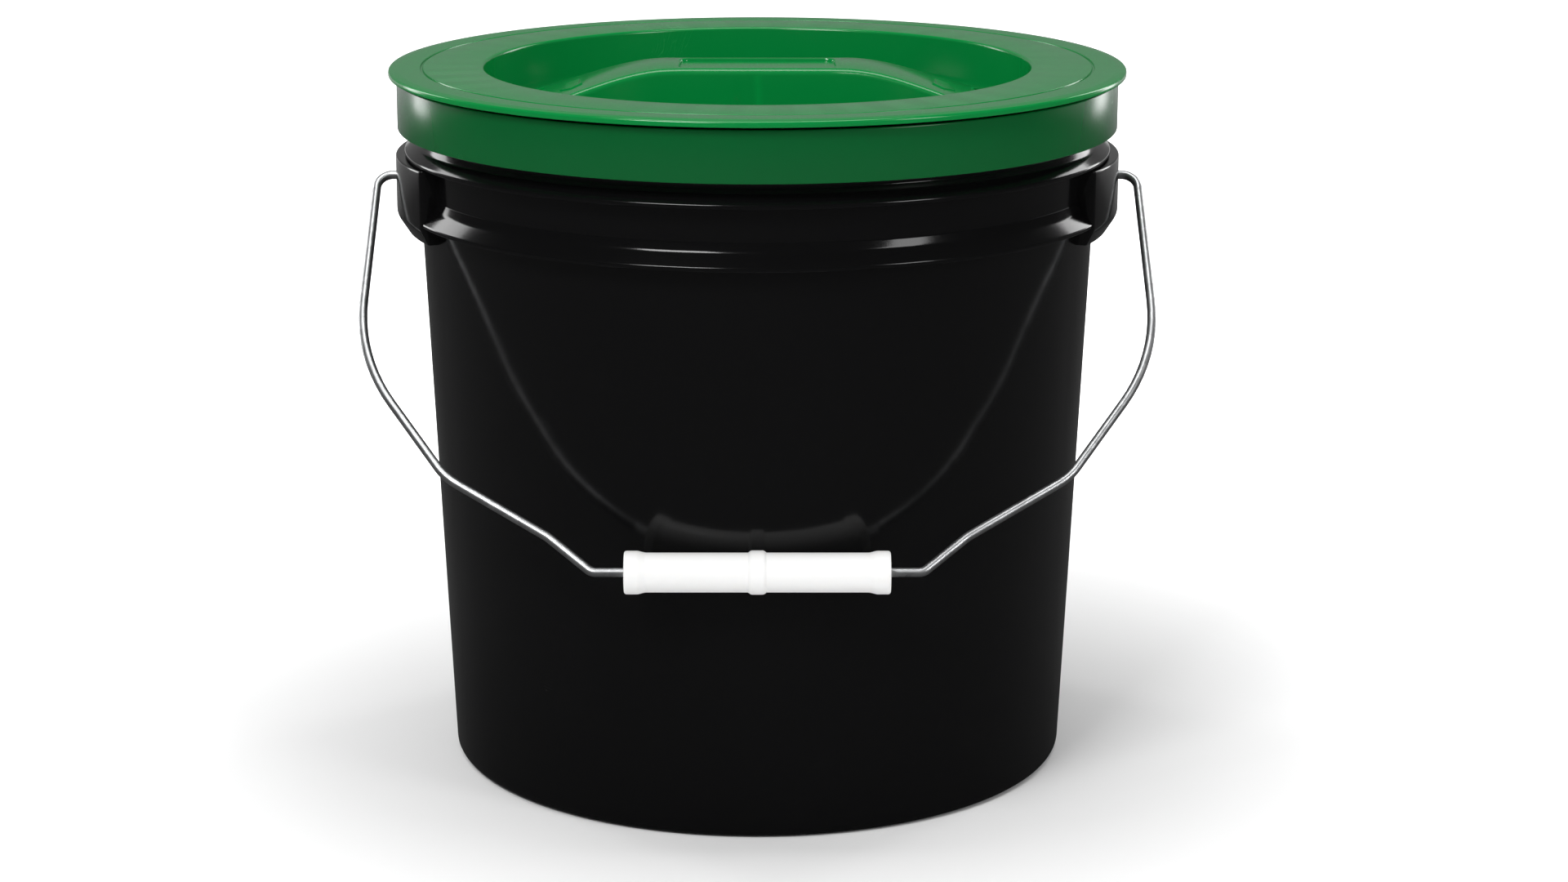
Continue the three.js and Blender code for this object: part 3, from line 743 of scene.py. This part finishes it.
class BUCKET_OT_bail(bpy.types.Operator):
    """Bends the bail from one wire, hooked inside each ear"""

    bl_idname = "bucket.bail"
    bl_label = "Bail wire"

    def execute(self, context):
        bail = settings().bail
        right = wire_corners()
        left = [(-x, y, *bend) for x, y, *bend in reversed(right)]
        path = filleted(right + left, steps=10)
        bm = bent_wire(path, bail.wire_radius)
        arm_down = GRIP_CENTRE - PIVOT
        hang = math.atan2(-arm_down.y, -arm_down.z)
        moved(bm, PIVOT, -hang, "X")
        piece = piece_from(bm, "bail_wire_fine", smooth=50)
        finish_piece(piece, "bail", "bail_wire", galvanised_wire(shared_groups()))
        return {"FINISHED"}


class BUCKET_OT_grip(bpy.types.Operator):
    """Turns the white roller with its flared ends and middle band"""

    bl_idname = "bucket.grip"
    bl_label = "Grip"

    def execute(self, context):
        bail = settings().bail
        half = (grip_box[1].x - grip_box[0].x) / 2
        bore_gap, end_dish = 0.0005, 0.0022
        bore = bail.wire_radius + bore_gap
        end, body, band = bail.grip_end_radius, bail.grip_radius, bail.grip_band_radius
        right = [
            (body, 0.0037, 0.0008),
            (body, half - 0.0085, 0.004),
            (end, half - 0.0055, 0.003),
            (end, half, 0.0011),
            (end - 0.0022, half, 0.0006),
            (end - 0.0027, half - end_dish, 0.0006),
            (bore, half - end_dish, 0.0004),
        ]
        left = [(r, -x, *bend) for r, x, *bend in reversed(right)]
        middle = [(band, -0.0026, 0.0022), (band, 0.0026, 0.0022)]
        outline = filleted(left + middle + right, closed=True)
        bm = spun(outline, 64, closed=True)
        moved(bm, GRIP_CENTRE, math.pi / 2, "Y")
        piece = piece_from(bm, "grip_fine", smooth=50)
        finish_piece(piece, "roller", "grip", grip_plastic(shared_groups()))
        return {"FINISHED"}


# ---- Adapter ring and its gasket ----


PLUG_DEPTH = 0.009
RING_WALL = 0.0022
RING_RIDGE_DEPTH = 0.016


def plug_radius():
    """Outside of the ring's plug, which fits inside the pail's neck."""
    gap = 0.0005
    return wall_radius(RIM_TOP - PLUG_DEPTH) - settings().pail.neck_wall - gap


def thread_wall_radius():
    """Inside of the ring's thread wall."""
    inset = 0.0137
    return plug_radius() - inset + RING_WALL


def lid_thread_radius():
    """Outside of the lid's thread wall, clear of the ring's ridges."""
    gap = 0.0005
    return thread_wall_radius() - settings().closure.ridge_radius - gap


def thread_ridges(wall, side, bottom, name):
    """Three ridges of the screw thread, each round two thirds of a turn, rooted in their wall."""
    closure = settings().closure
    turns, root, arc = 2 / 3, 0.0012, math.radians(80)
    ridge = closure.ridge_radius
    angles = (arc * k / 5 for k in range(-5, 6))
    bead = [(wall + side * ridge * math.cos(a), ridge * math.sin(a)) for a in angles]
    bead += [(wall - side * root, ridge), (wall - side * root, -ridge)]
    section = [Vector((x, bottom + z)) for x, z in bead]
    lead_in = (math.radians(5), 6)
    tools = []
    for start in range(3):
        middle = (FULL_TURN * turns - 2 * lead_in[0], 90)
        first = FULL_TURN * start / 3
        bm = part_spun(section, first, [lead_in, middle, lead_in], lift=closure.thread_lead * turns)
        for vert in bm.verts:
            past = (math.atan2(vert.co.y, vert.co.x) - first) % FULL_TURN
            past = 0.0 if past > FULL_TURN - 1e-4 else past
            near_end = min(past, FULL_TURN * turns - past) / lead_in[0]
            if near_end < 1:
                radius = vert.co.xy.length
                proud = (radius - wall) * side
                if proud > 0:
                    share = math.sqrt(max(0.02, near_end * (2 - near_end)))
                    vert.co.xy *= (wall + side * proud * share) / radius
        tools.append(piece_from(bm, name))
    return tools


class BUCKET_OT_ring(bpy.types.Operator):
    """Builds the adapter ring: skirt with snap bead, channel for the gasket, flat band and thread"""

    bl_idname = "bucket.ring"
    bl_label = "Adapter ring"

    def execute(self, context):
        closure, pail = settings().closure, settings().pail
        top = ring_box[1].z
        band_top = top - 0.0012
        ceiling = band_top - closure.band
        skirt_inner = RING_RADIUS - closure.skirt
        skirt_bottom = RIM_TOP - 0.0145
        plug, plug_bottom = plug_radius(), RIM_TOP - PLUG_DEPTH
        thread, wall = thread_wall_radius(), RING_WALL
        snap_gap, snap_bite = 0.0004, 0.0015
        snap_top = RIM_TOP - pail.rim_height - snap_gap
        snap = pail.rim_radius - snap_bite
        lip, groove, groove_low = RING_RADIUS - 0.002, RING_RADIUS - 0.0034, band_top - 0.0006
        corners = [
            (RING_RADIUS, skirt_bottom, 0.0006),
            (RING_RADIUS, top, 0.0007),
            (lip, top, 0.0006),
            (lip, groove_low, 0.0005),
            (groove, groove_low, 0.0005),
            (RING_RADIUS - 0.0036, band_top, 0.0004),
            (thread, band_top, 0.0012),
            (thread, ring_box[0].z, 0.0008),
            (thread + wall, ring_box[0].z, 0.0006),
            (thread + wall, ceiling, 0.0012),
            (plug - wall, ceiling, 0.0012),
            (plug - wall, plug_bottom, 0.0006),
            (plug, plug_bottom, 0.0009),
            (plug, ceiling, 0.0005),
            (skirt_inner, ceiling, 0.0005),
            (skirt_inner, snap_top),
            (snap, snap_top - 0.001, 0.0006),
            (snap, snap_top - 0.002, 0.0006),
            (skirt_inner, snap_top - 0.003),
            (skirt_inner, skirt_bottom, 0.0006),
        ]
        bm = spun(filleted(corners, closed=True, steps=4), pail.steps, closed=True)
        piece = piece_from(bm, "adapter_ring_fine")
        joined(piece, thread_ridges(thread, -1, RIM_TOP - RING_RIDGE_DEPTH, "ring_ridge"))
        # The ring's darker green is painted shade over the lid's green plastic.
        look = green_plastic("Green plastic in painted shade", closure.ring_shaded_tint, 0.2, shared_groups(), with_sink_sheen=False)
        finish_piece(piece, "ring", "adapter_ring", look)
        return {"FINISHED"}


class BUCKET_OT_gasket(bpy.types.Operator):
    """Builds the ribbed rubber gasket that seals the ring on the rim"""

    bl_idname = "bucket.gasket"
    bl_label = "Ring gasket"

    def execute(self, context):
        low, high = gasket_box
        outer, bottom, top = high.x, low.z, high.z
        inner, groove = outer - 0.005, 0.0004
        third = (outer - inner) / 3
        corners = [
            (inner, bottom, 0.0003),
            (inner + third, bottom, 0.0002), (inner + 1.25 * third, bottom + groove, 0.0002),
            (outer - 1.25 * third, bottom + groove, 0.0002), (outer - third, bottom, 0.0002),
            (outer, bottom, 0.0003), (outer, top, 0.0005), (inner, top, 0.0005),
        ]
        outline = filleted(corners, closed=True, steps=3)
        piece = piece_from(spun(outline, 144, closed=True), "ring_gasket_fine")
        finish_piece(piece, "ring", "ring_gasket", rubber("Gasket rubber", shared_groups()))
        return {"FINISHED"}


class BUCKET_OT_seal(bpy.types.Operator):
    """Builds the round rubber seal under the lid's flange"""

    bl_idname = "bucket.seal"
    bl_label = "Lid seal"

    def execute(self, context):
        low, high = seal_box
        radius = (high.z - low.z) / 2
        middle, height = high.x - radius, (high.z + low.z) / 2
        section = [
            Vector((middle + radius * math.cos(a), height + radius * math.sin(a)))
            for a in (FULL_TURN * k / 16 for k in range(16))]
        piece = piece_from(spun(section, 160, closed=True), "lid_seal_fine", smooth=60)
        finish_piece(piece, "seal", "lid_seal", rubber("Seal rubber", shared_groups()))
        return {"FINISHED"}


# ---- The lid ----


def bowl(radius, sink=0.0):
    """Height of the well's floor: a shallow bowl, lowest in the middle."""
    closure = settings().closure
    edge, middle = LID_TOP - closure.well_edge, LID_TOP - closure.well_middle
    return middle + (edge - middle) * (radius / closure.well_radius) ** 2 - sink


def bowl_points(sink=0.0):
    well = settings().closure.well_radius
    return [(well * share / 12, bowl(well * share / 12, sink)) for share in range(11)]


def ease(t):
    """0 to 1 with level ends."""
    t = min(max(t, 0.0), 1.0)
    return t * t * (3 - 2 * t)


def bar_top(x, sink=0.0):
    """Height of the handle bar's top: a level plateau that falls in a long curve to the well's wall."""
    plateau, end_drop = 0.037, 0.019
    far = settings().closure.well_radius
    return LID_TOP - sink - end_drop * ease((abs(x) - plateau) / (far + 0.004 - plateau))


def bar_half_width(x, sink=0.0):
    """Half of the bar's width: waisted in the middle and widest at the well's wall."""
    closure = settings().closure
    waist = 0.030
    share = max(0.0, abs(x) - waist) / (closure.well_radius - waist)
    return closure.bar_waist / 2 + (closure.bar_end - closure.bar_waist) / 2 * share ** 1.35 - sink


def bar_solid(sink, reach, low, fillet, name):
    """The handle bar, or the hollow under it: a straight rounded bar, then waisted and arched."""
    steps = 72
    half = settings().closure.bar_waist / 2 - sink
    top = LID_TOP - sink
    corners = [(-half, low), (-half, top, fillet), (half, top, fillet), (half, low)]
    outline = filleted(corners, steps=5)
    bm = bmesh.new()
    face = bm.faces.new([bm.verts.new((-reach, p.x, p.y)) for p in outline])
    for _ in range(steps):
        face = pushed(bm, face, (2 * reach / steps, 0, 0))
    inner = [f for f in bm.faces if abs(f.normal.x) > 0.9 and abs(f.calc_center_median().x) < reach - 1e-6]
    bmesh.ops.delete(bm, geom=inner, context="FACES_ONLY")
    for vert in bm.verts:
        x, y, z = vert.co
        vert.co.y = y + math.copysign(bar_half_width(x, sink) - half, y)
        if z > low + 1e-6:
            vert.co.z = z + bar_top(x, sink) - top
    bmesh.ops.recalc_face_normals(bm, faces=bm.faces)
    return piece_from(bm, name)


def well_space(bite):
    """The space inside the well, let a little into its floor and wall."""
    closure = settings().closure
    edge = LID_TOP - closure.well_edge
    corners = [
        *bowl_points(bite), (closure.well_radius + bite, edge - bite, 0.009),
        (closure.well_radius + bite, LID_TOP + 0.002), (0, LID_TOP + 0.002)]
    return piece_from(spun(filleted(corners), 96), "well_space")


def clear_of_wall(gap):
    """A cylinder that keeps the bar's hollow off the well's wall."""
    bm = cylinder(settings().closure.well_radius - gap, 0.2, 96)
    moved(bm, (0, 0, LID_TOP))
    return piece_from(bm, "clear_of_wall")


def blank_plate():
    """The rounded recess on the plateau, with a soft rim and floor. It is left blank."""
    half_length, half_width, depth, corner = 0.033, 0.01425, 0.0012, 0.0042
    rim = 0.0006
    bm = bmesh.new()
    outline = filleted([
        (-half_length, -half_width, corner), (half_length, -half_width, corner),
        (half_length, half_width, corner), (-half_length, half_width, corner)], closed=True, steps=8)
    face = bm.faces.new([bm.verts.new((p.x, p.y, LID_TOP - depth)) for p in outline])
    for rise, grow in ((depth - rim, 1.006), (rim, 1.02), (0.002, 1.0)):
        face = pushed(bm, face, (0, 0, rise))
        bmesh.ops.scale(bm, verts=face.verts, vec=(grow, grow, 1))
    inner = [f for f in bm.faces if len(f.verts) > 4]
    inner.sort(key=lambda f: f.calc_center_median().z)
    bmesh.ops.delete(bm, geom=inner[1:-1], context="FACES_ONLY")
    bmesh.ops.recalc_face_normals(bm, faces=bm.faces)
    return piece_from(bm, "blank_plate")


def laid_on_bar(bm, x, turn=0.0):
    """Turns a flat shape and lays it on the bar's top, which it follows."""
    moved(bm, (x, 0, 0), turn)
    for vert in bm.verts:
        vert.co.z += bar_top(vert.co.x)


def raised_word(word, side):
    """A word that says which way to turn, raised on one end of the bar and read round the lid."""
    text = bpy.data.curves.new(word, "FONT")
    size, proud, thinning, place = 0.0165, 0.0006, 0.0001, 0.098
    text.body, text.size, text.extrude, text.offset = word, size, proud, -thinning
    text.align_x, text.align_y = "CENTER", "CENTER"
    text.resolution_u = 4
    holder = linked(word, text)
    mesh = evaluated_mesh(holder)
    bpy.data.objects.remove(holder)
    bm = bmesh.new()
    bm.from_mesh(mesh)
    bpy.data.meshes.remove(mesh)
    bmesh.ops.remove_doubles(bm, verts=bm.verts, dist=1e-6)
    laid_on_bar(bm, side * place, -side * math.pi / 2)
    return piece_from(bm, word)


def raised_arrow(side):
    """A short arrow beside the word, pointing the way that end of the bar turns."""
    wide, head, long, neck, proud, place = 0.0032, 0.0052, 0.0105, 0.004, 0.0006, 0.080
    outline = [(-wide, long), (wide, long), (wide, -long + neck), (head, -long + neck),
               (0, -long - 0.001), (-head, -long + neck), (-wide, -long + neck)]
    bm = bmesh.new()
    face = bm.faces.new([bm.verts.new((x, y, -proud)) for x, y in outline])
    face = pushed(bm, face, (0, 0, 2 * proud))
    bmesh.ops.scale(bm, verts=face.verts, vec=(0.9, 0.96, 1))
    laid_on_bar(bm, side * place)
    bmesh.ops.recalc_face_normals(bm, faces=bm.faces)
    return piece_from(bm, "arrow")


def lid_corners():
    closure = settings().closure
    well, wall, thread = closure.well_radius, closure.wall, lid_thread_radius()
    edge, under = LID_TOP - closure.well_edge, LID_TOP - closure.flange
    groove, groove_low = FLANGE_RADIUS * 0.91, LID_TOP - 0.0009
    side_gap, top_gap, thread_depth = 0.0004, 0.0003, 0.0335
    low, high = seal_box
    seal_in, seal_out = high.x - (high.z - low.z) - side_gap, high.x + side_gap
    seal_top = high.z + top_gap
    thread_bottom = LID_TOP - thread_depth
    return [
        *bowl_points(),
        (well, edge, 0.011),
        (well, LID_TOP, 0.0014),
        (groove - 0.0007, LID_TOP, 0.0003),
        (groove - 0.0004, groove_low, 0.0002),
        (groove + 0.0004, groove_low, 0.0002),
        (groove + 0.0007, LID_TOP, 0.0003),
        (FLANGE_RADIUS - 0.004, LID_TOP, 0.003),
        (FLANGE_RADIUS, LID_TOP - 0.0005, 0.0012),
        (FLANGE_RADIUS, under, 0.0007),
        (seal_out, under, 0.0003),
        (seal_out, seal_top, 0.0003),
        (seal_in, seal_top, 0.0003),
        (seal_in, under, 0.0003),
        (thread, under, 0.0006),
        (thread, thread_bottom, 0.0008),
        (thread - wall, thread_bottom, 0.0006),
        (thread - wall, under, 0.001),
        (well + wall, under, 0.001),
        (well + wall, edge - wall, 0.0134),
        *reversed(bowl_points(wall)),
    ]


class BUCKET_OT_lid(bpy.types.Operator):
    """Builds the screw-in lid: flange, thread wall, round well and hollow handle bar"""

    bl_idname = "bucket.lid"
    bl_label = "Lid"

    def execute(self, context):
        closure = settings().closure
        wall, well = closure.wall, closure.well_radius
        hollow_gap = 0.0016
        piece = piece_from(spun(filleted(lid_corners()), settings().pail.steps), "lid_fine")
        low = LID_TOP - closure.well_middle - 4 * wall
        bite = wall / 2
        bar = bar_solid(0, well + bite, low, 0.003, "bar")
        joined(bar, [well_space(bite)], "INTERSECT")
        hollow = bar_solid(wall, well + bite, low - 0.01, 0.0012, "bar_hollow")
        joined(hollow, [clear_of_wall(hollow_gap)], "INTERSECT")
        joined(piece, [bar])
        joined(piece, [hollow, blank_plate()], "DIFFERENCE")
        first_ridge = RIM_TOP - RING_RIDGE_DEPTH - closure.thread_lead / 6
        ridges = thread_ridges(lid_thread_radius(), 1, first_ridge, "lid_ridge")
        words = [raised_word("OPEN", LEFT), raised_word("CLOSE", RIGHT)]
        arrows = [raised_arrow(LEFT), raised_arrow(RIGHT)]
        joined(piece, ridges + self.under_ribs() + words + arrows)
        look = green_plastic("Green plastic", closure.lid_tint, 0.17, shared_groups(), with_sink_sheen=True)
        finish_piece(piece, "closure", "lid", look)
        return {"FINISHED"}

    def under_ribs(self):
        """Thin webs between the well and the thread wall, under the flange."""
        closure = settings().closure
        inner, outer = closure.well_radius + closure.wall / 2, lid_thread_radius() - closure.wall / 2
        top, height, thickness, count = LID_TOP - closure.flange / 2, 0.0105, 0.0016, 30
        bm = bmesh.new()
        for i in range(count):
            made = bmesh.ops.create_cube(bm, size=1)["verts"]
            bmesh.ops.scale(bm, verts=made, vec=(outer - inner, thickness, height))
            bmesh.ops.translate(bm, verts=made, vec=((inner + outer) / 2, 0, top - height / 2))
            bmesh.ops.rotate(bm, verts=made, matrix=Matrix.Rotation(FULL_TURN * i / count, 3, "Z"))
        return [piece_from(bm, "under_ribs")]


# ---- Floor, light and camera ----


def pale_floor():
    """A floor just under the foot: white far out, shadowed near the object, dark in its reflections."""
    stage, drop = settings().stage, 0.0003
    bm = bmesh.new()
    bmesh.ops.create_circle(bm, cap_ends=True, segments=96, radius=stage.floor_radius)
    moved(bm, (0, 0, -drop))
    floor = piece_from(bm, "floor")
    preset = {"Roughness": 0.9, "Specular IOR Level": 0.0, "Emission Color": (1, 1, 1, 1)}
    material, tree, shader = new_material("Pale floor", preset)
    place = place_on(tree)
    cloud = noise(tree, place, 3.0, 2.0)
    path = add(tree, "ShaderNodeLightPath")
    far_out = add(tree, "ShaderNodeVectorMath", {0: place}, operation="LENGTH").outputs["Value"]
    fade = add(
        tree, "ShaderNodeMapRange", {"Value": far_out, "From Min": 0.14, "From Max": 0.65},
        interpolation_type="SMOOTHERSTEP")
    tint = stage.floor_tint
    pale = mixed(tree, cloud, scaled(tint, 0.99), scaled(tint, 1.01))
    mirrored = maths(tree, "MULTIPLY", path.outputs["Is Glossy Ray"], 0.93)
    tree.links.new(mixed(tree, mirrored, pale, (0, 0, 0)), shader.inputs["Base Color"])
    depth = add(tree, "ShaderNodeSeparateXYZ", {0: place}).outputs["Y"]
    behind = add(
        tree, "ShaderNodeMapRange", {"Value": depth, "From Min": 1.0, "From Max": 2.4, "To Max": 0.6})
    mirrored_glow = maths(tree, "MULTIPLY", behind.outputs["Result"], path.outputs["Is Glossy Ray"])
    shown = maths(tree, "ADD", path.outputs["Is Camera Ray"], mirrored_glow)
    glow = maths(tree, "MULTIPLY", fade.outputs["Result"], shown)
    tree.links.new(glow, shader.inputs["Emission Strength"])
    floor.data.materials.append(material)


def soft_light(name, place, size, power, aim=(0, 0, 0.16)):
    data = bpy.data.lights.new(name, "AREA")
    data.shape = "RECTANGLE"
    data.size, data.size_y = size
    data.energy = power
    lamp = linked(name, data)
    lamp.location = place
    lamp.rotation_euler = (Vector(aim) - Vector(place)).to_track_quat("-Z", "Y").to_euler()


def pale_world():
    """White where the camera looks. For light and mirrors: a pale wall behind and a dim room in front."""
    world = bpy.data.worlds.new("Pale studio")
    bpy.context.scene.world = world
    world.use_nodes = True
    tree = world.node_tree
    tree.nodes.clear()
    path = add(tree, "ShaderNodeLightPath").outputs
    way = add(tree, "ShaderNodeTexCoord").outputs["Generated"]
    back = add(tree, "ShaderNodeSeparateXYZ", {0: way}).outputs["Y"]
    wall = add(
        tree, "ShaderNodeMapRange", {"Value": back, "From Min": 0.45, "From Max": 0.95, "To Max": 0.2},
        interpolation_type="SMOOTHERSTEP").outputs["Result"]
    room = maths(tree, "ADD", wall, 0.035)
    softened = maths(tree, "ADD", room, maths(tree, "MULTIPLY", path["Is Diffuse Ray"], 0.4))
    shown = add(tree, "ShaderNodeBackground", {"Strength": 1.0, "Color": (1, 1, 1, 1)})
    lit = add(tree, "ShaderNodeBackground", {"Strength": softened, "Color": (1, 1, 1, 1)})
    mix = add(tree, "ShaderNodeMixShader", {0: path["Is Camera Ray"], 1: lit.outputs[0], 2: shown.outputs[0]})
    output = tree.nodes.new("ShaderNodeOutputWorld")
    tree.links.new(mix.outputs[0], output.inputs["Surface"])


def camera():
    data = bpy.data.cameras.new("camera")
    data.lens = settings().stage.lens
    data.sensor_width = 36.0
    data.shift_x = 0.017
    data.clip_start, data.clip_end = 0.05, 60
    eye = linked("camera", data)
    eye.location = (0, -1.456, 0.509)
    eye.rotation_euler = (math.radians(75.6), 0, 0)
    bpy.context.scene.camera = eye


class BUCKET_OT_stage(bpy.types.Operator):
    """Sets the pale floor, the soft studio light and the camera"""

    bl_idname = "bucket.stage"
    bl_label = "Stage"

    def execute(self, context):
        pale_floor()
        pale_world()
        for name, place, size, power in (
                ("key", (-0.9, -1.5, 2.0), (0.9, 0.7), 30),
                ("fill", (1.6, -1.3, 1.2), (0.5, 0.9), 9),
                ("top", (0, 0.1, 2.4), (1.6, 1.0), 22),
                ("edge_left", (-1.7, 1.35, 0.7), (0.45, 1.6), 10),
                ("edge_right", (1.55, 1.5, 0.7), (0.45, 1.6), 10)):
            soft_light(name, place, size, power)
        camera()
        context.scene.view_settings.view_transform = "Standard"
        return {"FINISHED"}


# ---- Panel and registration ----


class BUCKET_PT_parts(bpy.types.Panel):
    """Lists the operators that build the bucket"""

    bl_label = "Fermenting bucket"
    bl_space_type = "VIEW_3D"
    bl_region_type = "UI"
    bl_category = "Bucket"

    def draw(self, context):
        for operator in OPERATORS:
            self.layout.operator(operator.bl_idname)


SETTINGS = (PailSettings, BailSettings, ClosureSettings, StageSettings, BucketSettings)
OPERATORS = (
    BUCKET_OT_pail,
    BUCKET_OT_bail,
    BUCKET_OT_grip,
    BUCKET_OT_ring,
    BUCKET_OT_gasket,
    BUCKET_OT_seal,
    BUCKET_OT_lid,
    BUCKET_OT_stage,
)


def register():
    for cls in (*SETTINGS, *OPERATORS, BUCKET_PT_parts):
        bpy.utils.register_class(cls)
    bpy.types.Scene.fermenting_bucket = PointerProperty(type=BucketSettings)


def unregister():
    del bpy.types.Scene.fermenting_bucket
    for cls in (BUCKET_PT_parts, *reversed(OPERATORS), *reversed(SETTINGS)):
        bpy.utils.unregister_class(cls)


def main():
    register()
    for operator in (
            bpy.ops.bucket.pail, bpy.ops.bucket.bail, bpy.ops.bucket.grip, bpy.ops.bucket.ring,
            bpy.ops.bucket.gasket, bpy.ops.bucket.seal, bpy.ops.bucket.lid, bpy.ops.bucket.stage):
        operator()


if __name__ == "__main__":
    main()
